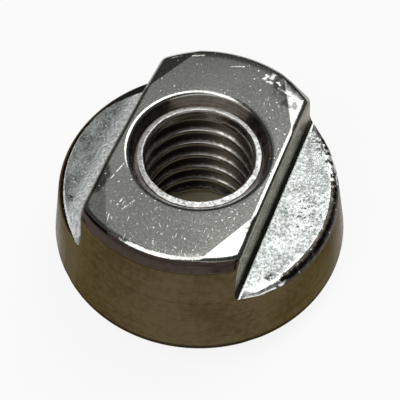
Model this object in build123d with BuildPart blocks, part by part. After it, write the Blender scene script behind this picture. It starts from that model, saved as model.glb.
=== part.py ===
"""Round one-piece driver nut: a tapered turned body with a raised tongue across its top and a threaded hole.

The frame is +Z up along the hole, with the origin at the centre of the seat. The tongue runs along Y.
"""
import os

from build123d import *

# Turned blank: an undercut chamfer, a wall that leans inwards, and a short crown chamfer at the top
total_height = 7.1
base_diameter = 14.2
base_edge_radius = 0.15
seat_chamfer = 1.4
wall_inset = 0.93
crown_inset = 0.26
crown_height = 0.6

# Driving tongue that stands between two milled ledges
tongue_width = 7.46
tongue_height = 2.6
root_radius = 0.4
edge_radius = 0.25

# Threaded hole, cut to the crests of its thread
bore_diameter = 4.92
lead_in = 0.2
ring_width = 0.21
countersink_depth = 0.43
exit_break = 0.1

# Distance that the milling cuts run past the blank
cut_overrun = 1.0

# Radii and heights that follow from the sizes above
base_radius = base_diameter / 2
wall_top_radius = base_radius - wall_inset
crown_base_height = total_height - crown_height
ledge_height = total_height - tongue_height
bore_radius = bore_diameter / 2
ring_inner_radius = bore_radius + lead_in
ring_outer_radius = ring_inner_radius + ring_width
ring_height = total_height - countersink_depth

with BuildPart() as nut:
    # Blank, turned about the hole's axis, with the widest edge broken round
    with BuildSketch(Plane.XZ):
        with BuildLine():
            Polyline(
                (0, 0),
                (base_radius - seat_chamfer, 0),
                (base_radius, seat_chamfer),
                (wall_top_radius, crown_base_height),
                (wall_top_radius - crown_inset, total_height),
                (0, total_height),
                close=True,
            )
        make_face()
    revolve(axis=Axis.Z)
    widest_edge = nut.edges().filter_by(GeomType.CIRCLE).sort_by(SortBy.RADIUS)[-1]
    fillet(widest_edge, base_edge_radius)

    # Ledges, milled straight through along Y on both sides, with a round root beside the tongue
    with BuildSketch(Plane.XZ) as ledge_cut:
        with BuildLine():
            Polyline(
                (tongue_width / 2, ledge_height),
                (base_radius + cut_overrun, ledge_height),
                (base_radius + cut_overrun, total_height + cut_overrun),
                (tongue_width / 2, total_height + cut_overrun),
                close=True,
            )
        make_face()
        root_corner = ledge_cut.vertices().group_by(Axis.X)[0].sort_by(Axis.Y)[0]
        fillet(root_corner, root_radius)
        mirror(about=Plane.YZ)
    extrude(amount=base_radius + cut_overrun, both=True, mode=Mode.SUBTRACT)

    # Rolled edges: the tongue's top and corners, and the ledges' rims, which run on up the corners
    flat_faces = nut.faces().filter_by(Plane.XY)
    tongue_top = flat_faces.sort_by(Axis.Z)[-1]
    ledges = flat_faces.filter_by_position(Axis.Z, ledge_height, ledge_height)
    ledge_rims = ledges.edges().filter_by(GeomType.CIRCLE)
    tongue_corners = nut.edges().filter_by(GeomType.HYPERBOLA)
    fillet(tongue_top.edges() + ledge_rims + tongue_corners, edge_radius)

    # Hole: countersink, flat ring, short lead-in, bore and a broken lower edge
    with BuildSketch(Plane.XZ):
        with BuildLine():
            Polyline(
                (0, 0),
                (bore_radius + exit_break, 0),
                (bore_radius, exit_break),
                (bore_radius, ring_height - lead_in),
                (ring_inner_radius, ring_height),
                (ring_outer_radius, ring_height),
                (ring_outer_radius + countersink_depth, total_height),
                (0, total_height),
                close=True,
            )
        make_face()
    revolve(axis=Axis.Z, mode=Mode.SUBTRACT)

nut.part.label = "nut"
os.makedirs("parts", exist_ok=True)
export_step(nut.part, "parts/nut.step")
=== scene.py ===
"""Dresses a round one-piece driver nut: rolled edges, a helical thread, worn steel and a small studio."""

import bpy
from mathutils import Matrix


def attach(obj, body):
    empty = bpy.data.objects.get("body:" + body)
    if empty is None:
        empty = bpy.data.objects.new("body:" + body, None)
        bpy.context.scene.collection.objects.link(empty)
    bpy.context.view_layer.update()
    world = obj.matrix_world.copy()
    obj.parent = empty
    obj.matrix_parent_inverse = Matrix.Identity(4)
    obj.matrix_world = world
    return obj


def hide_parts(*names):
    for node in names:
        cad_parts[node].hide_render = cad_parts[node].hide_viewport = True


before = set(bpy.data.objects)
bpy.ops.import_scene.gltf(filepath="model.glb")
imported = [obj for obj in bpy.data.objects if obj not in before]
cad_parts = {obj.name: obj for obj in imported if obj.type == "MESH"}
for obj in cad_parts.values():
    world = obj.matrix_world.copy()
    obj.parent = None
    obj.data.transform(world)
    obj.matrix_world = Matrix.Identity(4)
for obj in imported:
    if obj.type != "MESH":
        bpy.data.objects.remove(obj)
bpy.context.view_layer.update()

import logging
import math
from dataclasses import dataclass, field
from enum import Enum, IntEnum
from functools import reduce

import bmesh
import bpy
from mathutils import Matrix, Vector, noise

LOG = logging.getLogger("nut")
MM = 0.001
MERGE = 0.0005 * MM
# Most of what a noise gives lies in this range
NOISE_RANGE = (0.3, 0.7)
# Places of the colours among a Mix node's inputs and outputs, which share their names with other kinds
MIX_COLOURS = (6, 7)
MIX_RESULT = 2

BMesh = bmesh.types.BMesh
Chain = list[bmesh.types.BMVert]
Point = tuple[float, float]
# The two ends of a range and, where they aren't 0 and 1, what these ends become
Ramp = tuple[float, ...]
Spot = tuple[float, float, float]
Nick = tuple[float, float, float, float, float]
Colour = tuple[float, float, float]
Socket = bpy.types.NodeSocket
Sockets = bpy.types.bpy_prop_collection
Feed = float | tuple[float, ...] | Socket


class Zone(IntEnum):
    """Surface regions of the nut, in the order of its material slots."""

    TOP = 0
    CROWN = 1
    WALL = 2
    LEDGE = 3
    FLANK = 4
    COUNTERSINK = 5
    RING = 6
    THREAD = 7
    UNDERSIDE = 8
    RIM = 9


class Side(Enum):
    """The two halves of the nut, by the sign of X."""

    RIGHT = 1.0
    LEFT = -1.0


class Effect(Enum):
    """The effects that finishes share, by the names of their node groups."""

    GRAIN = "metal_grain"
    TURNING = "turning_marks"
    SCRATCHES = "hairline_scratches"
    NICK = "single_nick"
    SPECKS = "specks"
    PATCH = "worn_patch"
    HEIGHT = "height_on_nut"
    RADIUS = "radius_on_nut"


def stored(bm: BMesh, name: str) -> bpy.types.Mesh:
    """Turns a working mesh into a stored one.

    Args:
        bm: The working mesh, which is freed.
        name: Name of the stored mesh.

    Returns:
        The stored mesh.
    """
    mesh = bpy.data.meshes.new(name)
    bm.to_mesh(mesh)
    bm.free()
    return mesh


def shown(name: str, data: bpy.types.ID) -> bpy.types.Object:
    """Makes an object and puts it in the scene.

    Args:
        name: Name of the object.
        data: Its mesh, lamp or camera.

    Returns:
        The object.
    """
    thing = bpy.data.objects.new(name, data)
    bpy.context.scene.collection.objects.link(thing)
    return thing


def polar(radius: float, angle: float, z: float) -> Vector:
    """Gives the point at a distance and an angle round the axis, and at a height."""
    return Vector((radius * math.cos(angle), radius * math.sin(angle), z))


def socket_name(keyword: str) -> str:
    """Gives the name of the socket that a keyword stands for."""
    return keyword.replace("_", " ").title()


class Bench:
    """A node tree with short ways to add nodes and join them."""

    def __init__(self, tree: bpy.types.NodeTree) -> None:
        """Keeps the tree that the nodes go into."""
        self.tree = tree

    def feed(self, socket: Socket, value: Feed) -> None:
        """Sets a socket to a value, or joins it to another node's output.

        Args:
            socket: The socket.
            value: The value or the output.
        """
        if isinstance(value, Socket):
            self.tree.links.new(value, socket)
        else:
            socket.default_value = value

    def add(self, kind: str, *feeds: Feed, **settings: object) -> bpy.types.Node:
        """Adds a node, sets its properties and feeds its first inputs.

        Args:
            kind: The node's type name, without the words that all shader nodes start with.
            *feeds: Values or outputs for its inputs, in order.
            **settings: Properties of the node.

        Returns:
            The node.
        """
        node = self.tree.nodes.new("ShaderNode" + kind)
        for name, value in settings.items():
            setattr(node, name, value)
        for socket, value in zip(node.inputs, feeds):
            self.feed(socket, value)
        return node

    def place(self, effect: Effect, **values: Feed) -> Socket:
        """Places a shared effect and sets its inputs.

        Args:
            effect: The effect.
            **values: Values of its inputs, named in lower case with low lines for spaces.

        Returns:
            The effect's output.
        """
        node = self.add("Group")
        node.node_tree = bpy.data.node_groups[effect.value]
        for name, value in values.items():
            self.feed(node.inputs[socket_name(name)], value)
        return node.outputs[0]

    def solve(self, operation: str, *values: Feed) -> Socket:
        """Gives the result of a Math node."""
        return self.add("Math", *values, operation=operation).outputs[0]

    def plus(self, *values: Feed) -> Socket:
        """Adds numbers up."""
        return reduce(lambda one, other: self.solve("ADD", one, other), values)

    def minus(self, whole: Feed, part: Feed) -> Socket:
        """Takes one number from another."""
        return self.solve("SUBTRACT", whole, part)

    def times(self, *values: Feed) -> Socket:
        """Multiplies numbers."""
        return reduce(lambda one, other: self.solve("MULTIPLY", one, other), values)

    def most(self, *values: Feed) -> Socket:
        """Gives the largest of some numbers."""
        return reduce(lambda one, other: self.solve("MAXIMUM", one, other), values)

    def span(self, value: Feed, low: Feed, high: Feed, start: float = 0.0, end: float = 1.0) -> Socket:
        """Maps a range of a number smoothly onto another range, and holds it there outside the range.

        Args:
            value: The number.
            low: One end of its range.
            high: The other end.
            start: What the first end becomes.
            end: What the other end becomes.

        Returns:
            The mapped number.
        """
        feeds = (value, low, high, start, end)
        return self.add("MapRange", *feeds, interpolation_type="SMOOTHSTEP").outputs["Result"]

    def blend(self, share: Feed, first: Feed, second: Feed) -> Socket:
        """Mixes two colours.

        Args:
            share: How much of the second colour there is.
            first: The first colour.
            second: The second colour.

        Returns:
            The mixed colour.
        """
        node = self.add("Mix", share, data_type="RGBA")
        for index, colour in zip(MIX_COLOURS, (first, second)):
            self.feed(node.inputs[index], (*colour, 1.0) if isinstance(colour, tuple) else colour)
        return node.outputs[MIX_RESULT]

    def millimetres(self) -> Socket:
        """Gives the place on the nut in millimetres.

        Returns:
            The place, as a vector.
        """
        node = self.add("VectorMath", self.add("TexCoord").outputs["Object"], operation="SCALE")
        self.feed(node.inputs["Scale"], 1.0 / MM)
        return node.outputs[0]

    def split(self, vector: Feed) -> Sockets:
        """Gives the outputs X, Y and Z of a vector."""
        return self.add("SeparateXYZ", vector).outputs

    def off_axis(self, place: Sockets) -> Socket:
        """Gives a place's distance from the axis."""
        return self.solve("SQRT", self.plus(*(self.times(place[name], place[name]) for name in "XY")))

    def stretched(self, vector: Feed, factors: Feed) -> Socket:
        """Gives a vector with each of its numbers multiplied by its own factor."""
        return self.add("VectorMath", vector, factors, operation="MULTIPLY").outputs[0]

    def noise(self, place: Feed, scale: Feed, detail: Feed) -> Socket:
        """Gives cloudy noise at a place.

        Args:
            place: The place, as a vector.
            scale: Clouds for each unit of the place.
            detail: Number of finer layers.

        Returns:
            A number from 0 to 1.
        """
        node = self.add("TexNoise", place)
        self.feed(node.inputs["Scale"], scale)
        self.feed(node.inputs["Detail"], detail)
        return node.outputs["Fac"]

    def grain(self, scale: float, detail: float) -> Socket:
        """Gives the grain of worked metal, with its clouds for each millimetre and its finer layers."""
        return self.place(Effect.GRAIN, scale=scale, detail=detail)

    def turning(self, spacing: float, drift: float) -> Socket:
        """Gives turning marks, with their rings for each millimetre and their drift along the axis."""
        return self.place(Effect.TURNING, spacing=spacing, drift=drift)

    def specks(self, scale: float, size: float) -> Socket:
        """Gives specks, with their number for each millimetre and the size of the largest."""
        return self.place(Effect.SPECKS, scale=scale, size=size)


@dataclass(frozen=True)
class Effects:
    """Builds the node groups that the finishes share, each with one number as its output."""

    drift_slant: float = 0.7
    scratch_edge: float = 0.06
    ragged: Point = (7.0, 2.0)
    ragged_width: Point = (0.5, 1.3)
    nick_core: float = 0.6
    broad_nick: Ramp = (0.04, 0.07)
    skips: Point = (6.0, 1.0)
    skip_ramp: Ramp = (0.34, 0.48)
    speck_chance: Ramp = (0.45, 1.0)
    speck_core: float = 0.5

    def build(self) -> None:
        """Builds each group once."""
        self.grain()
        self.turning()
        self.scratches()
        self.nick()
        self.specks()
        self.patch()
        self.rulers()

    def start(self, effect: Effect, output: str, **inputs: Feed) -> tuple[Bench, Sockets, Socket]:
        """Starts a node group.

        Args:
            effect: The effect.
            output: Name of the group's output.
            **inputs: Its inputs with their first values, a number or a vector each.

        Returns:
            A bench on the group's tree, the given inputs by name, and the socket that takes the result.
        """
        tree = bpy.data.node_groups.new(effect.value, "ShaderNodeTree")
        for keyword, value in inputs.items():
            kind = "NodeSocketVector" if isinstance(value, tuple) else "NodeSocketFloat"
            socket = tree.interface.new_socket(socket_name(keyword), in_out="INPUT", socket_type=kind)
            socket.default_value = value
        tree.interface.new_socket(output, in_out="OUTPUT", socket_type="NodeSocketFloat")
        given = tree.nodes.new("NodeGroupInput").outputs
        return Bench(tree), given, tree.nodes.new("NodeGroupOutput").inputs[output]

    def grain(self) -> None:
        """Builds the cloudy grain of worked metal."""
        bench, given, result = self.start(Effect.GRAIN, "Grain", scale=6.0, detail=3.0)
        bench.feed(result, bench.noise(bench.millimetres(), given["Scale"], given["Detail"]))

    def turning(self) -> None:
        """Builds the fine rings that a lathe leaves, which run round the axis and drift slowly along it."""
        bench, given, result = self.start(Effect.TURNING, "Marks", spacing=8.0, drift=0.25)
        place = bench.split(bench.millimetres())
        across = bench.times(bench.off_axis(place), given["Spacing"])
        along = bench.times(place["Z"], given["Spacing"])
        slow = bench.plus(place["X"], bench.times(place["Y"], self.drift_slant))
        ring = bench.add("CombineXYZ", across, along, bench.times(slow, given["Drift"]))
        bench.feed(result, bench.noise(ring.outputs[0], scale=1.0, detail=3.0))

    def scratches(self) -> None:
        """Builds stray hairline scratches that all run about one way."""
        bench, given, result = self.start(
            Effect.SCRATCHES, "Scratches", turn=(0.0, 0.0, 0.0), stretch=(0.8, 9.0, 1.0), cut=0.68
        )
        turned = bench.add("Mapping", bench.millimetres())
        bench.feed(turned.inputs["Rotation"], given["Turn"])
        streak = bench.noise(bench.stretched(turned.outputs[0], given["Stretch"]), scale=1.0, detail=1.0)
        bench.feed(result, bench.span(streak, given["Cut"], bench.plus(given["Cut"], self.scratch_edge)))

    def nick(self) -> None:
        """Builds one ragged scratch of a given place, direction, length and width, broken if it is thin."""
        bench, given, result = self.start(
            Effect.NICK, "Nick", centre=(0.0, 0.0, 0.0), turn=0.0, half_length=0.5, half_width=0.05
        )
        place = bench.millimetres()
        shift = bench.add("VectorMath", place, given["Centre"], operation="SUBTRACT")
        turned = bench.add("VectorRotate", shift.outputs[0], rotation_type="Z_AXIS")
        bench.feed(turned.inputs["Angle"], bench.times(given["Turn"], -1.0))
        offset = bench.split(turned.outputs[0])
        ragged = bench.span(bench.noise(place, *self.ragged), *NOISE_RANGE, *self.ragged_width)
        width = bench.times(given["Half Width"], ragged)
        along = bench.solve("DIVIDE", bench.solve("ABSOLUTE", offset["X"]), given["Half Length"])
        across = bench.solve("DIVIDE", bench.solve("ABSOLUTE", offset["Y"]), width)
        cut = bench.span(bench.most(along, across), 1.0, self.nick_core)
        broad = bench.span(given["Half Width"], *self.broad_nick)
        skips = bench.span(bench.noise(place, *self.skips), *self.skip_ramp)
        bench.feed(result, bench.times(cut, bench.most(broad, skips)))

    def specks(self) -> None:
        """Builds small round specks of uneven size."""
        bench, given, result = self.start(Effect.SPECKS, "Specks", scale=5.0, size=0.25)
        cells = bench.add("TexVoronoi", bench.millimetres())
        bench.feed(cells.inputs["Scale"], given["Scale"])
        chance = bench.add("SeparateColor", cells.outputs["Color"]).outputs["Red"]
        reach = bench.times(given["Size"], bench.span(chance, *self.speck_chance))
        core = bench.times(reach, self.speck_core)
        bench.feed(result, bench.span(cells.outputs["Distance"], reach, core))

    def patch(self) -> None:
        """Builds a round patch that fades from its centre to its reach."""
        bench, given, result = self.start(Effect.PATCH, "Patch", centre=(0.0, 0.0, 0.0), reach=2.0)
        apart = bench.add("VectorMath", bench.millimetres(), given["Centre"], operation="DISTANCE")
        bench.feed(result, bench.span(apart.outputs["Value"], given["Reach"], 0.0))

    def rulers(self) -> None:
        """Builds measures, in millimetres, of the height above the seat and the distance from the axis."""
        bench, _, result = self.start(Effect.HEIGHT, "Height")
        bench.feed(result, bench.split(bench.millimetres())["Z"])
        bench, _, result = self.start(Effect.RADIUS, "Radius")
        bench.feed(result, bench.off_axis(bench.split(bench.millimetres())))


@dataclass(frozen=True)
class Coat:
    """What a finish sends to its shader."""

    colour: Socket
    rough: Socket
    relief: Socket


@dataclass(frozen=True)
class Finish:
    """A steel surface with two tones, a range of gloss and a depth of relief in millimetres.

    A grain is (clouds for each millimetre, finer layers), and rings are (rings for each millimetre, drift).
    A mark on the surface stands at a spot, (x, y, reach), at the finish's own height.
    """

    name: str
    dark: Colour
    light: Colour
    gloss: float
    dull: float
    relief: float
    edge_tint: Colour = (1.0, 1.0, 1.0)
    height: float = 0.0
    grain: Point = (3.0, 4.0)
    rings: Point = (9.0, 0.2)
    tone_ramp: Ramp = (0.7, 1.3)

    def near(self, bench: Bench, spot: Spot) -> Socket:
        """Gives a patch round a spot, 1 at its centre and 0 at its reach."""
        return bench.place(Effect.PATCH, centre=(*spot[:2], self.height), reach=spot[2])

    def nearest(self, bench: Bench, spots: tuple[Spot, ...]) -> Socket:
        """Gives the patches round several spots as one."""
        return bench.most(*(self.near(bench, spot) for spot in spots))

    def sheen(self, bench: Bench, grain: Socket) -> Socket:
        """Gives the roughness, which grows with the grain."""
        return bench.span(grain, *NOISE_RANGE, self.gloss, self.dull)

    def coat(self, bench: Bench) -> Coat:
        """Works out the surface from turning marks and grain.

        Args:
            bench: The material's tree.

        Returns:
            What the shader takes.
        """
        marks = bench.turning(*self.rings)
        grain = bench.grain(*self.grain)
        tone = bench.span(bench.plus(marks, grain), *self.tone_ramp)
        return Coat(bench.blend(tone, self.dark, self.light), self.sheen(bench, grain), marks)

    def build(self) -> bpy.types.Material:
        """Builds the finish's material.

        Returns:
            The material.
        """
        material = bpy.data.materials.new(self.name)
        material.use_nodes = True
        bench = Bench(material.node_tree)
        inputs = material.node_tree.nodes["Principled BSDF"].inputs
        inputs["Metallic"].default_value = 1.0
        inputs["Specular Tint"].default_value = (*self.edge_tint, 1.0)
        coat = self.coat(bench)
        bench.feed(inputs["Base Color"], coat.colour)
        bench.feed(inputs["Roughness"], coat.rough)
        bump = bench.add("Bump")
        bump.inputs["Distance"].default_value = self.relief * MM
        bench.feed(bump.inputs["Height"], coat.relief)
        bench.feed(inputs["Normal"], bump.outputs["Normal"])
        return material


@dataclass(frozen=True)
class PolishedTop(Finish):
    """The tongue's polished top, with fine grain, specks, hairlines, a few deep nicks, a film in places and
    painted shade on a facet.

    A nick is (x, y, turn in degrees, half length, half width), and a hairline is (turn, cut).
    """

    height: float = 7.1
    grain: Point = (9.0, 4.0)
    broad: Point = (0.4, 2.0)
    broad_share: float = 0.5
    tone_ramp: Ramp = (0.55, 0.95)
    rough_share: float = 0.25
    rough_ramp: Ramp = (0.05, 1.1)
    relief_share: float = 0.3
    bright_and_highlight: Colour = (0.95, 0.95, 0.93)
    specks: Point = (4.2, 0.22)
    dust: Point = (7.5, 0.34)
    dust_strength: float = 0.40
    # Colour of the film, and also of the painted shade on the left front facet
    film_and_shade: Colour = (0.10, 0.10, 0.095)
    film_ramp: Ramp = (0.0, 0.5)
    streaks: Point = (3.0, 5.0)
    streak_ramp: Ramp = (0.36, 0.60, 0.0, 0.85)
    painted_shade_strength: float = 0.70
    hairline_stretch: Spot = (2.4, 15.0, 1.0)
    hairlines: tuple[Point, ...] = ((0.35, 0.735), (1.40, 0.71), (0.95, 0.725))
    scratched_ramp: Ramp = (0.0, 0.8)
    scratched: tuple[Spot, ...] = ((-1.2, -4.5, 2.6), (1.2, -4.6, 2.2), (2.2, 3.2, 1.8))
    smeared: tuple[Spot, ...] = (
        (2.40, 4.75, 1.00),
        (2.95, 3.85, 0.60),
        (3.58, -3.30, 0.42),
        (3.66, -2.80, 0.36),
    )
    # Painted shade: spots that darken the left front facet nearly evenly
    painted_shade_spots: tuple[Spot, ...] = (
        (-3.56, -2.50, 0.40),
        (-3.46, -2.85, 0.52),
        (-3.46, -3.25, 0.52),
        (-3.50, -3.62, 0.40),
    )
    nicks: tuple[Nick, ...] = (
        (-2.92, -2.48, 77.0, 0.62, 0.035),
        (-2.15, -3.90, 78.0, 0.30, 0.035),
        (-1.75, -3.95, 62.0, 0.42, 0.030),
        (0.00, 5.16, 21.0, 0.48, 0.035),
        (1.42, 5.00, 70.0, 0.22, 0.130),
        (1.70, 5.14, 80.0, 0.22, 0.120),
        (1.66, 4.78, 5.0, 0.20, 0.090),
        (2.10, 4.85, -30.0, 0.18, 0.090),
        (2.32, 4.55, -12.0, 0.22, 0.050),
        (2.85, 4.38, -18.0, 0.55, 0.055),
        (-2.05, 5.10, 24.0, 0.38, 0.045),
        (-3.05, 4.72, 34.0, 0.34, 0.035),
        # These two nicks along the front edge are partly wear and partly a painted highlight of the bright
        # strip there
        (-0.55, -5.76, -5.5, 0.62, 0.085),
        (0.55, -5.76, 5.5, 0.62, 0.075),
    )

    def worn(self, bench: Bench) -> Socket:
        """Works out where specks, hairlines and nicks have bared bright metal, with a painted highlight in
        the two front edge nicks.

        Args:
            bench: The material's tree.

        Returns:
            A mask of the bared metal and the painted highlight.
        """
        marks = [bench.specks(*self.specks), bench.times(bench.specks(*self.dust), self.dust_strength)]
        few = bench.span(self.nearest(bench, self.scratched), *self.scratched_ramp)
        for turn, cut in self.hairlines:
            way = (0.0, 0.0, turn)
            lines = bench.place(Effect.SCRATCHES, turn=way, stretch=self.hairline_stretch, cut=cut)
            marks.append(bench.times(lines, few))
        for x, y, turn, half_length, half_width in self.nicks:
            nick = bench.place(
                Effect.NICK,
                centre=(x, y, self.height),
                turn=math.radians(turn),
                half_length=half_length,
                half_width=half_width,
            )
            marks.append(nick)
        return bench.most(*marks)

    def film_and_painted_shade(self, bench: Bench) -> Socket:
        """Works out where a dark film lies in streaks, and where painted shade lies nearly even on the left
        front facet.

        Args:
            bench: The material's tree.

        Returns:
            A mask of the film and the painted shade.
        """
        streaks = bench.span(bench.grain(*self.streaks), *self.streak_ramp)
        even = bench.plus(bench.times(streaks, 1.0 - self.painted_shade_strength), self.painted_shade_strength)
        film_and_shade_masks = []
        for spots, strength in ((self.smeared, streaks), (self.painted_shade_spots, even)):
            for spot in spots:
                near = bench.span(self.near(bench, spot), *self.film_ramp)
                film_and_shade_masks.append(bench.times(near, strength))
        return bench.most(*film_and_shade_masks)

    def coat(self, bench: Bench) -> Coat:
        """Works out the polished surface and the marks on it.

        Args:
            bench: The material's tree.

        Returns:
            What the shader takes.
        """
        fine = bench.grain(*self.grain)
        broad = bench.times(bench.grain(*self.broad), self.broad_share)
        tone = bench.span(bench.plus(broad, fine), *self.tone_ramp)
        wear = self.worn(bench)
        metal = bench.blend(self.film_and_painted_shade(bench), bench.blend(tone, self.dark, self.light), self.film_and_shade)
        uneven = bench.plus(bench.times(fine, self.rough_share), wear)
        return Coat(
            bench.blend(wear, metal, self.bright_and_highlight),
            bench.span(uneven, *self.rough_ramp, self.gloss, self.dull),
            bench.minus(bench.times(fine, self.relief_share), wear),
        )


@dataclass(frozen=True)
class LedgeMaps:
    """What the marks on the ledges follow: three grains, two sides, and a wavy distance along X."""

    grain: Socket
    cloud: Socket
    blot: Socket
    left: Socket
    front: Socket
    wavy: Socket


@dataclass(frozen=True)
class MilledLedge(Finish):
    """The ledges' bright milled grain, with grey clouds, pits, stains, painted glints and painted highlights
    along edges.

    Painted light makes the left ledge brighter beside the tongue and at its front tip, and painted shade
    darkens it along its back rim.
    """

    height: float = 4.5
    grain: Point = (9.0, 3.0)
    cloud: Point = (1.3, 3.0)
    blot: Point = (4.5, 4.0)
    left_ramp: Ramp = (0.5, -0.5)
    front_ramp: Ramp = (1.5, -0.5)
    wave_share: float = 0.5
    grain_share: float = 0.9
    cloud_share: float = 0.8
    cloud_ramp: Ramp = (0.62, 1.12)
    cloud_depth: Ramp = (0.0, 1.0, 0.66, 0.80)
    # Painted light and shade across the left ledge: lighter beside the tongue, darker further out
    inner_ramp: Ramp = (-4.95, -4.35, 0.14, -0.22)
    pitted: tuple[Spot, ...] = ((5.3, 0.2, 2.6), (5.0, 3.9, 1.2), (-6.0, -2.0, 1.8), (-5.6, 2.4, 1.6))
    pit_share: float = 0.12
    pit_ramp: Ramp = (0.60, 0.78)
    pit_depth: Ramp = (0.0, 0.6, 0.35, 1.0)
    bright_and_highlight: Colour = (0.97, 0.98, 0.97)
    # Painted highlights: a strip beside the tongue on the left ledge, its front tip, a line along its front
    # rim and a brow inside the right rim
    strip_ramp: Ramp = (-4.75, -4.20)
    strip_mottle: Ramp = (0.36, 0.60, 0.1, 0.9)
    tip: Spot = (-4.05, -4.90, 0.90)
    tip_ramp: Ramp = (0.1, 0.5)
    tip_mottle: Ramp = (0.30, 0.52, 0.2, 1.0)
    line_ramp: Ramp = (6.29, 6.33)
    brow_ramp: Ramp = (6.04, 6.09, 0.0, 0.85)
    brow_wave: Point = (-0.16, 0.08)
    stain: Colour = (0.07, 0.07, 0.065)
    stain_share: float = 0.35
    stain_ramp: Ramp = (0.58, 0.84)
    stain_edge: Ramp = (0.0, 0.35)
    stain_mottle: Ramp = (0.36, 0.58, 0.35, 1.0)
    stained: tuple[Spot, ...] = (
        (4.45, 4.45, 0.75),
        (4.90, 4.00, 0.70),
        (5.45, 3.35, 0.60),
        (4.87, -3.66, 0.55),
        (-5.22, -3.00, 0.42),
    )
    flecks: Point = (7.0, 0.55)
    glint_ramp: Ramp = (0.0, 0.5, 0.0, 0.8)
    glinting: tuple[Spot, ...] = (
        (-5.40, -2.15, 0.75),
        (-5.75, -1.30, 1.10),
        (-4.20, -4.60, 0.90),
        (-5.00, 0.90, 1.60),
    )
    # Colour of the painted shade in the band along the back of the left rim
    shade_and_line_colour: Colour = (0.03, 0.03, 0.028)
    band_spot: Spot = (-4.5, 4.7, 4.6)
    band_grain: Point = (5.0, 3.0)
    band_wave: Point = (-0.03, 0.03)
    band_radius: float = 6.47
    band_width: float = 0.44
    band_edge: float = 0.05
    band_end: Ramp = (0.02, 0.12)

    def maps(self, bench: Bench) -> LedgeMaps:
        """Lays out what the marks follow.

        Args:
            bench: The material's tree.

        Returns:
            The maps.
        """
        grain = bench.grain(*self.grain)
        cloud = bench.grain(*self.cloud)
        place = bench.split(bench.millimetres())
        left = bench.span(place["X"], *self.left_ramp)
        front = bench.times(left, bench.span(place["Y"], *self.front_ramp))
        wavy = bench.plus(place["X"], bench.times(bench.plus(grain, cloud), self.wave_share))
        return LedgeMaps(grain, cloud, bench.grain(*self.blot), left, front, wavy)

    def shade(self, bench: Bench, maps: LedgeMaps) -> Socket:
        """Works out the grey of the clouds and pits, with painted light and shade across the left ledge.

        Args:
            bench: The material's tree.
            maps: What the marks follow.

        Returns:
            How dark the metal is.
        """
        soft = bench.times(maps.cloud, self.cloud_share)
        mixed = bench.plus(bench.times(maps.grain, self.grain_share), soft)
        clouds = bench.times(bench.span(mixed, *self.cloud_ramp), bench.span(maps.left, *self.cloud_depth))
        # Painted light beside the tongue and painted shade further out, on the left ledge only
        inner = bench.times(bench.span(maps.wavy, *self.inner_ramp), maps.left)
        spread = self.nearest(bench, self.pitted)
        pits = bench.span(bench.plus(maps.grain, bench.times(spread, self.pit_share)), *self.pit_ramp)
        pits = bench.times(pits, bench.span(spread, *self.pit_depth))
        return bench.most(bench.plus(clouds, inner), pits)

    def painted_highlights(self, bench: Bench, maps: LedgeMaps, tone: Socket) -> Socket:
        """Paints highlights on the strip beside the tongue, the left tip and line, and the brow inside the
        right rim.

        Args:
            bench: The material's tree.
            maps: What the marks follow.
            tone: The colour so far.

        Returns:
            The new colour.
        """
        strip = bench.span(maps.wavy, *self.strip_ramp)
        strip = bench.times(strip, bench.span(maps.grain, *self.strip_mottle))
        tip = bench.span(self.near(bench, self.tip), *self.tip_ramp)
        tip = bench.times(tip, bench.span(maps.grain, *self.tip_mottle))
        radius = bench.place(Effect.RADIUS)
        line = bench.span(radius, *self.line_ramp)
        brow = bench.plus(radius, bench.span(maps.blot, *NOISE_RANGE, *self.brow_wave))
        brow = bench.span(brow, *self.brow_ramp)
        for mask in (
            bench.times(bench.most(strip, tip), maps.left),
            bench.times(line, maps.front),
            bench.times(brow, bench.minus(1.0, maps.left)),
        ):
            tone = bench.blend(mask, tone, self.bright_and_highlight)
        return tone

    def marked(self, bench: Bench, maps: LedgeMaps, tone: Socket) -> Socket:
        """Puts the stains and glints on.

        Args:
            bench: The material's tree.
            maps: What the marks follow.
            tone: The colour so far.

        Returns:
            The new colour.
        """
        mottle = bench.span(maps.grain, *self.stain_mottle)
        for spot in self.stained:
            near = self.near(bench, spot)
            stain = bench.span(bench.plus(bench.times(near, self.stain_share), maps.blot), *self.stain_ramp)
            stain = bench.times(stain, mottle, bench.span(near, *self.stain_edge))
            tone = bench.blend(stain, tone, self.stain)
        flecks = bench.specks(*self.flecks)
        for spot in self.glinting:
            near = bench.span(self.near(bench, spot), *self.glint_ramp)
            tone = bench.blend(bench.times(near, flecks), tone, self.bright_and_highlight)
        return tone

    def band(self, bench: Bench) -> Socket:
        """Works out the painted shade, a dark band along the back of the left rim, which thins towards the
        front.

        Args:
            bench: The material's tree.

        Returns:
            A mask of the band.
        """
        near = self.near(bench, self.band_spot)
        ragged = bench.span(bench.grain(*self.band_grain), *NOISE_RANGE, *self.band_wave)
        radius = bench.plus(bench.place(Effect.RADIUS), ragged)
        inner = bench.minus(self.band_radius, bench.times(near, self.band_width))
        band = bench.span(radius, inner, bench.plus(inner, self.band_edge))
        return bench.times(band, bench.span(near, *self.band_end))

    def coat(self, bench: Bench) -> Coat:
        """Works out the milled surface and the marks on it.

        Args:
            bench: The material's tree.

        Returns:
            What the shader takes.
        """
        maps = self.maps(bench)
        tone = bench.blend(self.shade(bench, maps), self.light, self.dark)
        tone = self.marked(bench, maps, self.painted_highlights(bench, maps, tone))
        colour = bench.blend(self.band(bench), tone, self.shade_and_line_colour)
        return Coat(colour, self.sheen(bench, maps.grain), maps.grain)


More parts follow.
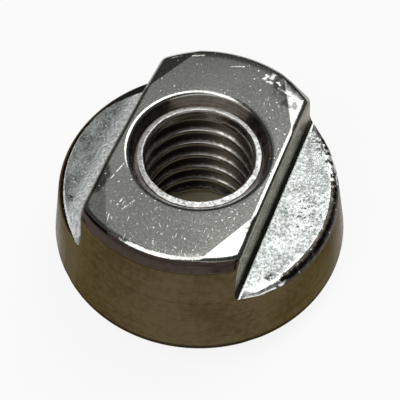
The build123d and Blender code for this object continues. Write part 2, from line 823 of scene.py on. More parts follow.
@dataclass(frozen=True)
class MilledFlank(Finish):
    """The tongue's milled flank, with lengthwise streaks and painted shade towards its foot."""

    streak: Spot = (0.5, 0.45, 7.0)
    grain_share: float = 0.5
    tone_ramp: Ramp = (0.5, 1.0)
    # Colour of the painted shade at the flank's foot
    foot: Colour = (0.045, 0.043, 0.034)
    foot_ramp: Ramp = (6.1, 4.7)
    foot_wave: Point = (-0.25, 0.25)

    def coat(self, bench: Bench) -> Coat:
        """Works out the streaks and the painted shade at the foot.

        Args:
            bench: The material's tree.

        Returns:
            What the shader takes.
        """
        grain = bench.grain(*self.grain)
        streaks = bench.noise(bench.stretched(bench.millimetres(), self.streak), scale=1.0, detail=3.0)
        tone = bench.span(bench.plus(streaks, bench.times(grain, self.grain_share)), *self.tone_ramp)
        # Painted shade that darkens the flank towards its foot
        uneven = bench.plus(bench.place(Effect.HEIGHT), bench.span(grain, *NOISE_RANGE, *self.foot_wave))
        low = bench.span(uneven, *self.foot_ramp)
        colour = bench.blend(low, bench.blend(tone, self.dark, self.light), self.foot)
        return Coat(colour, self.sheen(bench, grain), streaks)


@dataclass(frozen=True)
class WornRing(Finish):
    """The flat ring inside the countersink: bright, with dark pits and ragged patches."""

    grain: Point = (5.0, 4.0)
    pits: Point = (9.0, 2.0)
    pit_ramp: Ramp = (0.52, 0.66)
    pit_share: float = 0.35
    tone_ramp: Ramp = (0.42, 0.90)

    def coat(self, bench: Bench) -> Coat:
        """Works out the bright grain and its pits.

        Args:
            bench: The material's tree.

        Returns:
            What the shader takes.
        """
        grain = bench.grain(*self.grain)
        pits = bench.span(bench.grain(*self.pits), *self.pit_ramp)
        shade = bench.span(bench.plus(grain, bench.times(pits, self.pit_share)), *self.tone_ramp)
        return Coat(bench.blend(shade, self.light, self.dark), self.sheen(bench, grain), grain)


@dataclass(frozen=True)
class BurredRim(Finish):
    """The right ledge's rolled rim, painted dark as a dark reflection, with bright torn burrs, each a spot
    and a strength, partly painted glints.
    """

    height: float = 4.4
    grain: Point = (4.0, 4.0)
    tone_ramp: Ramp = (0.35, 0.65)
    bright_and_highlight: Colour = (0.90, 0.91, 0.89)
    torn_ramp: Ramp = (0.62, 0.74)
    burrs: tuple[tuple[Spot, float], ...] = (((5.3, 3.2, 1.9), 0.22), ((4.5, -4.4, 1.7), 0.55))

    def coat(self, bench: Bench) -> Coat:
        """Works out the rim's painted dark reflection and its burrs, partly painted glints.

        Args:
            bench: The material's tree.

        Returns:
            What the shader takes.
        """
        grain = bench.grain(*self.grain)
        tone = bench.blend(bench.span(grain, *self.tone_ramp), self.dark, self.light)
        near = bench.most(*(bench.times(self.near(bench, spot), strength) for spot, strength in self.burrs))
        torn = bench.span(bench.plus(grain, near), *self.torn_ramp)
        return Coat(bench.blend(torn, tone, self.bright_and_highlight), self.sheen(bench, grain), grain)


@dataclass(frozen=True)
class TurnedWall(Finish):
    """The turned wall, dark brown as a painted reflection, with dark lines, each a height and a strength, and
    a lower edge darkened as painted shadow.
    """

    rings: Point = (7.0, 0.12)
    ring_share: float = 0.45
    grain: Point = (3.5, 5.0)
    broad: Point = (0.35, 1.0)
    tone_ramp: Ramp = (0.9, 1.55)
    # Colour of the painted shadow along the lower edge, set by the edge ramp below, and of the dark lines
    shade_and_line_colour: Colour = (0.02, 0.015, 0.01)
    edge_ramp: Ramp = (1.60, 1.45, 0.0, 0.9)
    lines: tuple[Point, ...] = ((4.5, 0.5), (6.47, 0.8))
    line_half: float = 0.05

    def coat(self, bench: Bench) -> Coat:
        """Works out the turning marks, the mottled tone, the lines and the painted shadow along the lower
        edge.

        Args:
            bench: The material's tree.

        Returns:
            What the shader takes.
        """
        marks = bench.turning(*self.rings)
        mottle = bench.grain(*self.grain)
        mixed = bench.plus(bench.times(marks, self.ring_share), mottle, bench.grain(*self.broad))
        metal = bench.blend(bench.span(mixed, *self.tone_ramp), self.dark, self.light)
        height = bench.place(Effect.HEIGHT)
        # Painted shadow along the lower edge, then the dark lines
        shade_and_lines = [bench.span(height, *self.edge_ramp)]
        for level, strength in self.lines:
            apart = bench.solve("ABSOLUTE", bench.minus(height, level))
            shade_and_lines.append(bench.span(apart, self.line_half, 0.0, 0.0, strength))
        return Coat(bench.blend(bench.most(*shade_and_lines), metal, self.shade_and_line_colour), self.sheen(bench, mottle), marks)


@dataclass(frozen=True)
class GrooveShadedThread(Finish):
    """The thread: bright along its crests and darkened by painted shade in its groove."""

    grain: Point = (5.0, 3.0)
    groove_ramp: Ramp = (2.46, 2.67)
    groove_wave: Point = (-0.02, 0.04)

    def coat(self, bench: Bench) -> Coat:
        """Works out the bright crests and the painted shade in the groove.

        Args:
            bench: The material's tree.

        Returns:
            What the shader takes.
        """
        grain = bench.grain(*self.grain)
        uneven = bench.plus(bench.place(Effect.RADIUS), bench.span(grain, *NOISE_RANGE, *self.groove_wave))
        groove = bench.span(uneven, *self.groove_ramp)
        rough = bench.span(groove, 0.0, 1.0, self.gloss, self.dull)
        return Coat(bench.blend(groove, self.light, self.dark), rough, grain)


FINISHES: dict[Zone, Finish] = {
    Zone.TOP: PolishedTop("polished_top", (0.40, 0.405, 0.37), (0.57, 0.58, 0.53), 0.15, 0.45, 0.003),
    # The crown's near-black colours are a painted dark reflection
    Zone.CROWN: Finish("dark_crown", (0.050, 0.036, 0.030), (0.075, 0.056, 0.046), 0.12, 0.20, 0.001),
    # The wall's dark brown colours are a painted reflection of a dark, warm floor
    Zone.WALL: TurnedWall(
        "turned_wall", (0.066, 0.047, 0.022), (0.114, 0.085, 0.047), 0.20, 0.32, 0.002, (0.54, 0.51, 0.45)
    ),
    Zone.LEDGE: MilledLedge("milled_ledge", (0.13, 0.14, 0.13), (0.64, 0.68, 0.665), 0.38, 0.52, 0.022),
    Zone.FLANK: MilledFlank(
        "milled_flank", (0.16, 0.155, 0.13), (0.33, 0.325, 0.28), 0.22, 0.36, 0.002, (0.72, 0.70, 0.65)
    ),
    # The countersink's dark colours are painted shade
    Zone.COUNTERSINK: Finish(
        "turned_countersink", (0.085, 0.072, 0.058), (0.175, 0.152, 0.125), 0.16, 0.28, 0.002
    ),
    Zone.RING: WornRing("worn_ring", (0.46, 0.46, 0.43), (0.98, 0.99, 0.97), 0.50, 0.66, 0.012),
    Zone.THREAD: GrooveShadedThread("thread_shaded_groove", (0.048, 0.040, 0.031), (0.66, 0.62, 0.57), 0.20, 0.34, 0.002),
    # The seat's dark brown colours are painted shade
    Zone.UNDERSIDE: Finish(
        "turned_seat", (0.050, 0.037, 0.020), (0.110, 0.084, 0.050), 0.26, 0.40, 0.004, (0.30, 0.27, 0.22)
    ),
    Zone.RIM: BurredRim("rolled_rim", (0.030, 0.026, 0.021), (0.080, 0.072, 0.060), 0.24, 0.40, 0.020),
}


@dataclass
class Thread:
    """Right-hand thread inside the hole, in millimetres.

    The profile is one pitch of an internal thread with a flat crest, straight flanks and a flat root.
    """

    pitch: float = 1.0
    crest_radius: float = 2.46
    root_radius: float = 3.0
    low_end: float = 0.1
    high_end: float = 6.47
    steps: int = 208
    run_out: float = 0.55
    start_turn: float = 0.67
    spare_turns: int = 2
    crest_share: float = 0.20
    root_share: float = 0.16
    soft_share: float = 0.05
    flank_depths: tuple[float, float, float, float] = (0.04, 0.14, 0.50, 0.88)

    def profile(self) -> list[Point]:
        """Gives one pitch of the thread as (radius, height) points.

        Returns:
            Points from the middle of one crest to the middle of the next.
        """
        depth = self.root_radius - self.crest_radius
        crest = self.crest_share / 2
        root = 0.5 - self.root_share / 2
        soft = self.soft_share
        brow, shoulder, middle, foot = self.flank_depths
        rising = [
            (0.0, 0.0),
            (0.0, crest - soft),
            (brow, crest),
            (shoulder, crest + soft),
            (middle, (crest + root) / 2),
            (foot, root - soft),
            (1.0, root + soft),
        ]
        falling = [(deep, 1.0 - along) for deep, along in reversed(rising)]
        return [(self.crest_radius + depth * deep, self.pitch * along) for deep, along in rising + falling]

    def fade(self, height: float) -> float:
        """Gives the share of full depth that the groove has at a height, which is nothing at both ends."""
        room = min(height - self.low_end, self.high_end - height)
        return max(0.0, min(1.0, room / self.run_out))

    def build(self) -> bpy.types.Mesh:
        """Builds the thread as copies of one screw turn, closed by a plain circle at each end.

        Returns:
            A mesh of the thread alone.
        """
        bm = bmesh.new()
        chain = [bm.verts.new((radius * MM, 0.0, height * MM)) for radius, height in self.profile()]
        edges = [bm.edges.new(pair) for pair in zip(chain, chain[1:])]
        bmesh.ops.spin(
            bm,
            geom=chain + edges,
            cent=(0.0, 0.0, 0.0),
            axis=(0.0, 0.0, 1.0),
            dvec=(0.0, 0.0, self.pitch * MM / self.steps),
            angle=math.tau,
            steps=self.steps,
            use_merge=False,
            use_duplicate=False,
        )
        turn = bm.verts[:] + bm.edges[:] + bm.faces[:]
        turns = math.ceil((self.high_end - self.low_end) / self.pitch) + self.spare_turns
        for count in range(1, turns):
            copy = bmesh.ops.duplicate(bm, geom=turn)["geom"]
            fresh = [item for item in copy if isinstance(item, bmesh.types.BMVert)]
            bmesh.ops.translate(bm, verts=fresh, vec=(0.0, 0.0, count * self.pitch * MM))
        drop = (self.spare_turns - self.start_turn) * self.pitch
        for vert in bm.verts:
            height = vert.co.z / MM - drop + self.low_end
            height = max(self.low_end, min(self.high_end, height))
            flat = Vector((vert.co.x, vert.co.y, 0.0))
            radius = self.crest_radius + (flat.length / MM - self.crest_radius) * self.fade(height)
            spot = flat.normalized() * radius * MM
            vert.co = (spot.x, spot.y, height * MM)
        bmesh.ops.remove_doubles(bm, verts=bm.verts[:], dist=MERGE)
        for face in bm.faces:
            face.material_index = Zone.THREAD
        return stored(bm, "thread")


@dataclass(frozen=True)
class LedgeRim:
    """How a ledge's rim is rolled, in millimetres, and the zone that its roll has after its first rows."""

    roll: float
    swell: float
    ledge_rows: int
    zone: Zone


@dataclass
class NutBody:
    """The whole nut as one mesh, in millimetres, with its tongue along Y and its seat at height zero."""

    height: float = 7.1
    base_radius: float = 7.1
    base_height: float = 1.25
    base_roll: float = 0.28
    base_steps: int = 4
    seat_radius: float = 5.7
    wall_top_radius: float = 6.17
    crown_radius: float = 5.91
    crown_height: float = 0.6
    crown_soft: float = 0.07
    tongue_half: float = 3.73
    tongue_height: float = 2.6
    root_radius: float = 0.25
    root_steps: int = 6
    # Steps of the right root that take the flank's finish, as painted shade in the crease
    root_shade_steps: int = 4
    edge_roll: float = 0.25
    edge_segments: int = 6
    roll_end_gap: float = 0.25
    roll_clear: float = 0.29
    roll_top_lean: float = 0.80
    roll_flank_lean: float = 0.90
    right_rim: LedgeRim = LedgeRim(0.46, 0.0, 1, Zone.RIM)
    left_rim: LedgeRim = LedgeRim(0.40, 0.08, 2, Zone.WALL)
    rim_tip_roll: float = 0.04
    rim_fade_power: int = 3
    rim_steps: int = 6
    rim_shake: float = 0.035
    burr_shake: float = 0.10
    burrs: tuple[Spot, ...] = ((5.2, 3.4, 1.7), (4.7, -3.9, 1.1))
    mouth_radius: float = 3.26
    mouth_roll: float = 0.28
    mouth_steps: int = 4
    ring_outer: float = 2.85
    ring_outer_depth: float = 0.56
    ring_inner: float = 2.60
    ring_inner_depth: float = 0.42
    ring_roll: float = 0.05
    ring_steps: int = 2
    ring_shake: float = 0.035
    shake_scales: Point = (2.2, 5.5)
    exit_break: float = 0.1
    side_steps: int = 36
    end_steps: int = 16
    top_loops: int = 8
    corner_side_gap: float = 0.13
    corner_end_gap: float = 1.5
    facet_start: float = 2.1
    facet_rate: float = 0.48
    facet_slope: float = 0.2
    thread: Thread = field(default_factory=Thread)
    bm: BMesh = field(default_factory=bmesh.new, init=False, repr=False)

    @property
    def ledge_height(self) -> float:
        """Height of the ledges above the seat."""
        return self.height - self.tongue_height

    @property
    def crown_base(self) -> float:
        """Height of the crown chamfer's lower edge."""
        return self.height - self.crown_height

    @property
    def root_top(self) -> float:
        """Height at which the roots beside the tongue end."""
        return self.ledge_height + self.root_radius

    @property
    def roll_end(self) -> float:
        """Height down to which the tongue's corners are rolled."""
        return self.root_top + self.roll_end_gap

    def wall_radius(self, height: float) -> float:
        """Gives the radius of the tapered wall at a height."""
        share = (height - self.base_height) / (self.crown_base - self.base_height)
        return self.base_radius + (self.wall_top_radius - self.base_radius) * share

    def side_shares(self) -> list[float]:
        """Gives where a flank's points lie, from its middle (0) to its corner (1), with a wide last gap."""
        inner = 1.0 - self.corner_side_gap
        return [inner * i / (self.side_steps - 1) for i in range(self.side_steps)] + [1.0]

    def end_shares(self) -> list[float]:
        """Gives where a tongue end's points lie, from its corner (0) to its middle (1), after a wide gap."""
        first = self.corner_end_gap / (self.end_steps - 1 + self.corner_end_gap)
        return [first + (1.0 - first) * i / (self.end_steps - 1) for i in range(self.end_steps)]

    def side_line(self, x: float, z: float, reach: float) -> list[Vector]:
        """Gives the points of a line along the tongue, from its middle out to a circle.

        Args:
            x: Distance of the line from the tongue's middle plane.
            z: Height of the line.
            reach: Radius of the circle that the line ends on.

        Returns:
            The points, in order.
        """
        far = math.sqrt(reach * reach - x * x)
        return [Vector((x, far * share, z)) for share in self.side_shares()]

    def outline(self, radius: float, z: float) -> list[Vector]:
        """Gives a quarter of the tongue's outline: a flank to its corner, then the round end to the middle.

        Args:
            radius: Radius of the round end.
            z: Height of the outline.

        Returns:
            The points, in order.
        """
        corner = math.acos(self.tongue_half / radius)
        room = math.pi / 2 - corner
        arc = [polar(radius, corner + room * share, z) for share in self.end_shares()]
        return self.side_line(self.tongue_half, z, radius) + arc

    def circle(self, radius: float, z: float) -> list[Vector]:
        """Gives a quarter circle with as many points as the tongue's outline, evenly spaced."""
        last = self.side_steps + self.end_steps
        return [polar(radius, math.pi / 2 * i / last, z) for i in range(last + 1)]

    def rounded(self, before: Point, corner: Point, after: Point, roll: float, steps: int) -> list[Point]:
        """Rounds a corner of a turned profile.

        Args:
            before: A (radius, height) point on the way into the corner.
            corner: The corner itself.
            after: A point on the way out.
            roll: Radius of the rounding.
            steps: Number of short edges that make the rounding.

        Returns:
            The (radius, height) points of the rounding.
        """
        middle = Vector(corner)
        into = (Vector(before) - middle).normalized()
        out = (Vector(after) - middle).normalized()
        half = into.angle(out) / 2
        reach = roll / math.tan(half)
        hub = middle + (into + out).normalized() * roll / math.sin(half)
        start = middle + into * reach - hub
        end = middle + out * reach - hub
        swing = start.angle(end)
        points = []
        for step in range(steps + 1):
            share = step / steps
            low = math.sin((1.0 - share) * swing) / math.sin(swing)
            high = math.sin(share * swing) / math.sin(swing)
            spot = hub + start * low + end * high
            points.append((spot.x, spot.y))
        return points

    def grow(self, chain: Chain, spots: list[Vector], zone: Zone) -> Chain:
        """Extrudes a chain of points to new places.

        Args:
            chain: The points that are extruded, in order.
            spots: The new places, one for each point, in millimetres.
            zone: The surface region that the new faces belong to.

        Returns:
            The new chain, in the same order.
        """
        edges = [self.bm.edges.get(pair) for pair in zip(chain, chain[1:])]
        made = bmesh.ops.extrude_edge_only(self.bm, edges=edges)["geom"]
        fresh = {item for item in made if isinstance(item, bmesh.types.BMVert)}
        for item in made:
            if isinstance(item, bmesh.types.BMFace):
                item.material_index = zone
        grown = []
        for vert, spot in zip(chain, spots):
            other = next(e.other_vert(vert) for e in vert.link_edges if e.other_vert(vert) in fresh)
            other.co = spot * MM
            grown.append(other)
        return grown

    def mouth(self) -> Chain:
        """Builds a quarter of the hole's mouth: lead-in, ring, countersink and its rim.

        Returns:
            The chain of points at the outside of the rim.
        """
        foot = (self.thread.crest_radius, self.thread.high_end)
        inner = (self.ring_inner, self.height - self.ring_inner_depth)
        outer = (self.ring_outer, self.height - self.ring_outer_depth)
        rim = (self.mouth_radius, self.height)
        beyond = (self.crown_radius, self.height)
        chain = [self.bm.verts.new(spot * MM) for spot in self.circle(*foot)]
        for pair in zip(chain, chain[1:]):
            self.bm.edges.new(pair)
        for zone_in, zone, points in (
            (Zone.THREAD, Zone.RING, self.rounded(foot, inner, outer, self.ring_roll, self.ring_steps)),
            (Zone.RING, Zone.COUNTERSINK, self.rounded(inner, outer, rim, self.ring_roll, self.ring_steps)),
            (Zone.COUNTERSINK, Zone.TOP, self.rounded(outer, rim, beyond, self.mouth_roll, self.mouth_steps)),
        ):
            for index, point in enumerate(points):
                chain = self.grow(chain, self.circle(*point), zone if index else zone_in)
        return chain

    def top(self, chain: Chain) -> Chain:
        """Builds a quarter of the tongue's top, from the rim of the hole to the outline.

        Args:
            chain: The points at the outside of the rim.

        Returns:
            The chain of points along the outline.
        """
        rim = [vert.co / MM for vert in chain]
        edge = self.outline(self.crown_radius, self.height)
        for loop in range(1, self.top_loops + 1):
            spots = []
            for index, (near, far) in enumerate(zip(rim, edge)):
                room = far.x - near.x if index <= self.side_steps else far.length - near.length
                last = 1.0 - self.roll_clear / room
                share = last * loop / (self.top_loops - 1) if loop < self.top_loops else 1.0
                spots.append(near.lerp(far, share))
            chain = self.grow(chain, spots, Zone.TOP)
        return chain

    def sides(self, chain: Chain) -> Chain:
        """Builds a quarter of the flank, the crown and the wall above the ledge.

        Args:
            chain: The points along the top's outline.

        Returns:
            The chain of points at the top of the root.
        """
        crown_low = Vector((self.wall_top_radius, self.crown_base))
        wall_low = (self.wall_radius(self.root_top), self.root_top)
        rise = (Vector((self.crown_radius, self.height)) - crown_low).normalized()
        drop = (Vector(wall_low) - crown_low).normalized()
        profile = (
            (crown_low + rise * self.crown_soft, Zone.CROWN),
            (crown_low + (rise + drop) * self.crown_soft / 4, Zone.CROWN),
            (crown_low + drop * self.crown_soft, Zone.WALL),
            ((self.wall_radius(self.roll_end), self.roll_end), Zone.WALL),
            (wall_low, Zone.WALL),
        )
        for point, zone in profile:
            chain = self.grow(chain, self.outline(*point), zone)
            for vert in chain[: self.side_steps]:
                for face in vert.link_faces:
                    face.material_index = Zone.FLANK
        return chain

    def ledge(self, chain: Chain, side: Side) -> Chain:
        """Builds a quarter of a ledge and rolls its rim, wide in the middle and nearly sharp at the tip.

        Args:
            chain: The points along the foot of the flank, which end at the ledge's tip.
            side: The half of the nut, which sets how the rim is rolled.

        Returns:
            The chain of points along the lower edge of the rolled rim, which ends at the same tip.
        """
        rim = self.right_rim if side is Side.RIGHT else self.left_rim
        foot = chain[-1]
        tip = foot.co / MM
        reach = math.hypot(tip.x, tip.y)
        swing = math.atan2(tip.y, tip.x)
        shares = self.side_shares()[:-1]
        rolls = []
        for share in shares:
            fade = 1.0 - share**self.rim_fade_power
            roll = self.rim_tip_roll + (rim.roll - self.rim_tip_roll) * fade
            corner = (reach + rim.swell * fade, tip.z)
            below = (self.base_radius, self.base_height)
            rolls.append(self.rounded((0.0, tip.z), corner, below, roll, self.rim_steps))
        for step in range(self.rim_steps + 1):
            spots = []
            for share, roll in zip(shares, rolls):
                radius, z = roll[step]
                spots.append(polar(radius, swing * share, z))
            chain = self.grow(chain, [*spots, tip], Zone.LEDGE if step < rim.ledge_rows else rim.zone)
            bmesh.ops.weld_verts(self.bm, targetmap={chain[-1]: foot})
            chain[-1] = foot
        return chain

    def skirt(self, chain: Chain) -> None:
        """Builds a quarter of the wall below the ledge, its lower edge and the slope down to the seat.

        Args:
            chain: The points along the rolled rim, the root's end and the wall beside it.
        """
        angles = [math.atan2(vert.co.y, vert.co.x) for vert in chain]
        high = (self.wall_top_radius, self.crown_base)
        base = (self.base_radius, self.base_height)
        seat = (self.seat_radius, 0.0)
        points = [*self.rounded(high, base, seat, self.base_roll, self.base_steps), seat]
        for index, (radius, z) in enumerate(points):
            zone = Zone.WALL if index < len(points) / 2 else Zone.UNDERSIDE
            chain = self.grow(chain, [polar(radius, angle, z) for angle in angles], zone)

    def quarter(self, side: Side) -> None:
        """Builds one quarter of the nut, from the hole's mouth out over the top and down to the seat.

        Args:
            side: The half of the nut that the quarter is for, which sets the finish of its rim and of its
                root, whose crease is painted shade on the right.
        """
        chain = self.sides(self.top(self.mouth()))
        foot, ends = chain[: self.side_steps + 1], chain[self.side_steps :]
        feet = [foot[-1]]
        for step in range(1, self.root_steps + 1):
            # On the right, the first root steps take the flank's finish, painting shade into the crease
            dark = side is Side.RIGHT and step <= self.root_shade_steps
            bend = math.pi / 2 * step / self.root_steps
            x = self.tongue_half + self.root_radius * (1.0 - math.cos(bend))
            z = self.ledge_height + self.root_radius * (1.0 - math.sin(bend))
            spots = self.side_line(x, z, self.wall_radius(z))
            foot = self.grow(foot, spots, Zone.FLANK if dark else Zone.LEDGE)
            feet.append(foot[-1])
        foot = self.ledge(foot, side)
        self.skirt(foot[:-1] + feet[::-1] + ends[1:])

    def half(self, side: Side) -> bpy.types.Mesh:
        """Builds one half of the nut's outside from two mirrored quarters.

        Args:
            side: Which half.

        Returns:
            A mesh of the half alone, open along the middle plane, the hole and the seat.
        """
        self.bm = bmesh.new()
        self.quarter(side)
        geom = self.bm.verts[:] + self.bm.edges[:] + self.bm.faces[:]
        bmesh.ops.mirror(self.bm, geom=geom, matrix=Matrix.Identity(4), merge_dist=MERGE, axis="Y")
        bmesh.ops.scale(self.bm, vec=(side.value, 1.0, 1.0), verts=self.bm.verts[:])
        return stored(self.bm, "half")

    def join(self, *meshes: bpy.types.Mesh) -> None:
        """Adds meshes to the working mesh and merges the points where they meet.

        Args:
            *meshes: The meshes, which are deleted.
        """
        for mesh in meshes:
            self.bm.from_mesh(mesh)
            bpy.data.meshes.remove(mesh)
        bmesh.ops.remove_doubles(self.bm, verts=self.bm.verts[:], dist=MERGE)

    def roughen(self) -> None:
        """Shakes the points of the right rim and of the ring, most where the cutter left burrs."""
        for zone, shake in ((Zone.RIM, self.rim_shake), (Zone.RING, self.ring_shake)):
            for vert in {v for f in self.bm.faces if f.material_index == zone for v in f.verts}:
                spot = vert.co / MM
                reach = shake
                for x, y, room in self.burrs if zone is Zone.RIM else ():
                    near = 1.0 - math.hypot(spot.x - x, spot.y - y) / room
                    reach += self.burr_shake * max(0.0, near)
                waves = [noise.noise(spot * scale) for scale in self.shake_scales]
                wave = sum(waves) / len(waves)
                inward = -abs(wave) if zone is Zone.RIM else wave
                vert.co += Vector((spot.x, spot.y, 0.0)).normalized() * inward * reach * MM

    def roll_edges(self) -> None:
        """Rolls the outline of the tongue's top and the tongue's four corners down to the roots."""
        pairs = (
            {Zone.TOP, Zone.CROWN},
            {Zone.TOP, Zone.FLANK},
            {Zone.CROWN, Zone.FLANK},
            {Zone.FLANK, Zone.WALL},
        )
        edges = []
        for edge in self.bm.edges:
            low = min(vert.co.z for vert in edge.verts)
            zones = {face.material_index for face in edge.link_faces}
            if zones in pairs and low > self.roll_end * MM - MERGE:
                edges.append(edge)
        rolled = bmesh.ops.bevel(
            self.bm,
            geom=edges,
            offset=self.edge_roll * MM,
            offset_type="OFFSET",
            segments=self.edge_segments,
            profile=0.5,
            affect="EDGES",
            material=-1,
            loop_slide=False,
            clamp_overlap=False,
        )["faces"]
        # Rolled faces take a finish by how they lean, so the steeper ones carry the crown's and the wall's
        # painted dark reflection
        for face in rolled:
            face.normal_update()
            lean = face.normal
            if lean.z > self.roll_top_lean:
                face.material_index = Zone.TOP
            elif abs(lean.x) > self.roll_flank_lean * math.hypot(lean.x, lean.y):
                face.material_index = Zone.FLANK
            elif face.calc_center_median().z > self.crown_base * MM:
                face.material_index = Zone.CROWN
            else:
                face.material_index = Zone.WALL

    def cut_facets(self) -> None:
        """Cuts a crease across each corner of the tongue's top, and tilts the facet beyond it downwards."""
        roll_low = (self.height - self.edge_roll) * MM
        for x_sign in (1.0, -1.0):
            for y_sign in (1.0, -1.0):
                away = Vector((x_sign, y_sign * self.facet_rate, 0.0)).normalized()
                start = Vector((x_sign * self.tongue_half, y_sign * self.facet_start, self.height)) * MM
                faces = [f for f in self.bm.faces if min(v.co.z for v in f.verts) > roll_low - MERGE]
                edges = dict.fromkeys(edge for face in faces for edge in face.edges)
                verts = dict.fromkeys(vert for face in faces for vert in face.verts)
                geom = [*faces, *edges, *verts]
                made = bmesh.ops.bisect_plane(self.bm, geom=geom, dist=MERGE, plane_co=start, plane_no=away)
                for item in made["geom_cut"]:
                    if isinstance(item, bmesh.types.BMEdge):
                        item.smooth = min(vert.co.z for vert in item.verts) < start.z - MERGE
        low = self.crown_base * MM
        start = Vector((self.tongue_half, self.facet_start, 0.0)) * MM
        away = Vector((1.0, self.facet_rate, 0.0)).normalized()
        for vert in self.bm.verts:
            spot = Vector((abs(vert.co.x), abs(vert.co.y), 0.0))
            past = max(0.0, (spot - start).dot(away))
            share = max(0.0, min(1.0, (vert.co.z - low) / (roll_low - low)))
            vert.co.z -= self.facet_slope * past * share

    def crisp_feet(self) -> None:
        """Keeps the edges crisp where the ledges and the roots beside the tongue meet the wall."""
        pairs = ({Zone.FLANK, Zone.WALL}, {Zone.LEDGE, Zone.WALL})
        for edge in self.bm.edges:
            zones = {face.material_index for face in edge.link_faces}
            if zones in pairs and max(vert.co.z for vert in edge.verts) < self.roll_end * MM + MERGE:
                edge.smooth = False

    def close_seat(self) -> None:
        """Breaks the hole's lower edge and bridges it to the outside of the seat."""
        rims = [e for e in self.bm.edges if e.is_boundary]
        exit_rim = [e for e in rims if e.verts[0].co.xy.length < self.mouth_radius * MM]
        seat_rim = [e for e in rims if e.verts[0].co.xy.length > self.mouth_radius * MM]
        made = bmesh.ops.extrude_edge_only(self.bm, edges=exit_rim)["geom"]
        for vert in (item for item in made if isinstance(item, bmesh.types.BMVert)):
            spot = vert.co.xy.normalized() * (self.thread.crest_radius + self.exit_break) * MM
            vert.co = (spot.x, spot.y, 0.0)
        lower = [item for item in made if isinstance(item, bmesh.types.BMEdge)]
        for face in bmesh.ops.bridge_loops(self.bm, edges=lower + seat_rim)["faces"]:
            face.material_index = Zone.UNDERSIDE

    def build(self) -> bpy.types.Object:
        """Builds the nut's mesh and its object.

        Returns:
            The object, at the origin, with its faces sorted into zones.
        """
        halves = [self.half(side) for side in Side]
        self.bm = bmesh.new()
        self.join(*halves)
        bmesh.ops.recalc_face_normals(self.bm, faces=self.bm.faces[:])
        self.roughen()
        self.roll_edges()
        self.cut_facets()
        self.crisp_feet()
        self.join(self.thread.build())
        self.close_seat()
        bmesh.ops.recalc_face_normals(self.bm, faces=self.bm.faces[:])
        LOG.info("open edges of the nut: %d", sum(len(edge.link_faces) != 2 for edge in self.bm.edges))
        for face in self.bm.faces:
            face.smooth = True
        piece = shown("nut_finished", stored(self.bm, "nut_finished"))
        shade = piece.modifiers.new("even_shading", "WEIGHTED_NORMAL")
        shade.keep_sharp = True
        return piece

    def dress(self, piece: bpy.types.Object) -> None:
        """Gives each zone of the nut its finish."""
        for zone in Zone:
            piece.data.materials.append(FINISHES[zone].build())


@dataclass
class PhotoCamera:
    """The camera at the photograph's viewing angle."""

    azimuth_deg: float = 21.55
    elevation_deg: float = 56.23
    roll_deg: float = -0.1
    place_mm: Spot = (10.73, -27.10, 46.52)
    lens_mm: float = 98.1
    sensor_mm: float = 36.0
    clip_start_mm: float = 1.0

    def build(self) -> bpy.types.Object:
        """Makes the camera and hands it to the scene.

        Returns:
            The camera object.
        """
        data = bpy.data.cameras.new("photo_camera")
        data.lens = self.lens_mm
        data.sensor_width = self.sensor_mm
        data.clip_start = self.clip_start_mm * MM
        camera = shown("photo_camera", data)
        turn = (
            Matrix.Rotation(math.radians(self.azimuth_deg), 4, "Z")
            @ Matrix.Rotation(math.radians(90.0 - self.elevation_deg), 4, "X")
            @ Matrix.Rotation(math.radians(self.roll_deg), 4, "Z")
        )
        camera.matrix_world = Matrix.Translation(Vector(self.place_mm) * MM) @ turn
        bpy.context.scene.camera = camera
        return camera


@dataclass
class Lamp:
    """A soft upright lamp that looks at the nut, placed by angles, with the brightness of its face.

    The azimuth goes from the back towards the right, and distances are in millimetres.
    """

    name: str
    azimuth_deg: float
    elevation_deg: float
    half_width_deg: float
    half_height_deg: float
    brightness: float
    distance: float = 200.0
    aim: Spot = (0.0, 0.0, 5.0)

    def build(self) -> bpy.types.Object:
        """Makes the lamp.

        Returns:
            The lamp object.
        """
        azimuth = math.radians(self.azimuth_deg)
        elevation = math.radians(self.elevation_deg)
        level = math.cos(elevation)
        away = Vector((math.sin(azimuth) * level, math.cos(azimuth) * level, math.sin(elevation)))
        data = bpy.data.lights.new(self.name, "AREA")
        data.shape = "RECTANGLE"
        data.size = 2.0 * self.distance * math.tan(math.radians(self.half_width_deg)) * MM
        data.size_y = 2.0 * self.distance * math.tan(math.radians(self.half_height_deg)) * MM
        data.energy = self.brightness * math.pi * data.size * data.size_y
        lamp = shown(self.name, data)
        lamp.location = (Vector(self.aim) + away * self.distance) * MM
        lamp.rotation_euler = away.to_track_quat("Z", "Y").to_euler()
        lamp.visible_camera = False
        return lamp


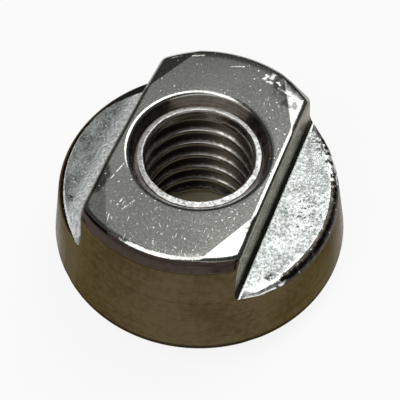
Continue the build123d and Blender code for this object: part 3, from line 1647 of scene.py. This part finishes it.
@dataclass
class Studio:
    """The pale floor, the lamps and the dim surroundings."""

    floor_half: float = 400.0
    floor_drop: float = 0.01
    floor_colour: Colour = (0.90, 0.90, 0.89)
    floor_rough: float = 0.9
    floor_gloss: float = 0.1
    floor_white: float = 0.88
    # Painted shade on the floor under the nut, seen through the hole
    under_hole_shade: Colour = (0.47, 0.41, 0.27)
    under_hole_ramp: Ramp = (4.0, 5.0)
    surround: float = 0.057
    lamps: tuple[Lamp, ...] = (
        Lamp("key_box", 21.0, 57.0, 15.0, 17.5, 3.2),
        Lamp("back_panel", -21.0, 58.5, 11.5, 11.0, 0.33),
        Lamp("left_panel", -70.0, 55.0, 14.0, 12.0, 0.19),
        Lamp("top_box", -154.0, 63.0, 10.5, 17.0, 2.8),
        Lamp("over_box", 30.0, 84.0, 14.0, 14.0, 2.0),
        Lamp("front_fill", 176.0, 28.0, 50.0, 25.0, 0.60),
    )

    def build_floor(self) -> bpy.types.Object:
        """Makes the floor, just below the nut's seat.

        Returns:
            The floor object.
        """
        bm = bmesh.new()
        bmesh.ops.create_grid(bm, x_segments=1, y_segments=1, size=self.floor_half * MM)
        bmesh.ops.translate(bm, verts=bm.verts[:], vec=(0.0, 0.0, -self.floor_drop * MM))
        return shown("floor", stored(bm, "floor"))

    def dress_floor(self, floor: bpy.types.Object) -> None:
        """Paints the floor, whiter where the camera or a reflection sees it, and with painted shade under the
        hole.

        Args:
            floor: The floor object.
        """
        paint = bpy.data.materials.new("pale_floor")
        paint.use_nodes = True
        nodes = paint.node_tree.nodes
        bench = Bench(paint.node_tree)
        shader = nodes["Principled BSDF"]
        shader.inputs["Roughness"].default_value = self.floor_rough
        shader.inputs["Specular IOR Level"].default_value = self.floor_gloss
        away = bench.add("VectorMath", bench.millimetres(), operation="LENGTH")
        outside = bench.span(away.outputs["Value"], *self.under_hole_ramp)
        bench.feed(shader.inputs["Base Color"], bench.blend(outside, self.under_hole_shade, self.floor_colour))
        rays = bench.add("LightPath").outputs
        seen = bench.most(*(rays[f"Is {kind} Ray"] for kind in ("Camera", "Glossy", "Transmission")))
        share = bench.times(seen, outside, self.floor_white)
        glow = bench.add("Emission")
        glow.inputs["Strength"].default_value = 1.0
        mixed = bench.add("MixShader", share, shader.outputs[0], glow.outputs[0])
        bench.feed(nodes["Material Output"].inputs["Surface"], mixed.outputs[0])
        floor.data.materials.append(paint)

    def build_surroundings(self) -> None:
        """Makes the dim light that comes from all round."""
        world = bpy.data.worlds.new("surroundings")
        world.use_nodes = True
        back = world.node_tree.nodes["Background"]
        back.inputs["Color"].default_value = (1.0, 1.0, 1.0, 1.0)
        back.inputs["Strength"].default_value = self.surround
        bpy.context.scene.world = world


def main() -> None:
    """Builds the nut, the studio and the camera in order."""
    logging.basicConfig(level=logging.INFO)
    body = NutBody()
    piece = body.build()
    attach(piece, "root")
    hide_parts("nut")
    Effects().build()
    body.dress(piece)
    LOG.info("piece %s: %d faces, %d finishes", piece.name, len(piece.data.polygons), len(FINISHES))
    studio = Studio()
    floor = studio.build_floor()
    studio.dress_floor(floor)
    LOG.info("stage %s", floor.name)
    for lamp in studio.lamps:
        LOG.info("lamp %s", lamp.build().name)
    studio.build_surroundings()
    bpy.context.scene.view_settings.view_transform = "Standard"
    LOG.info("camera %s", PhotoCamera().build().name)


if __name__ == "__main__":
    main()
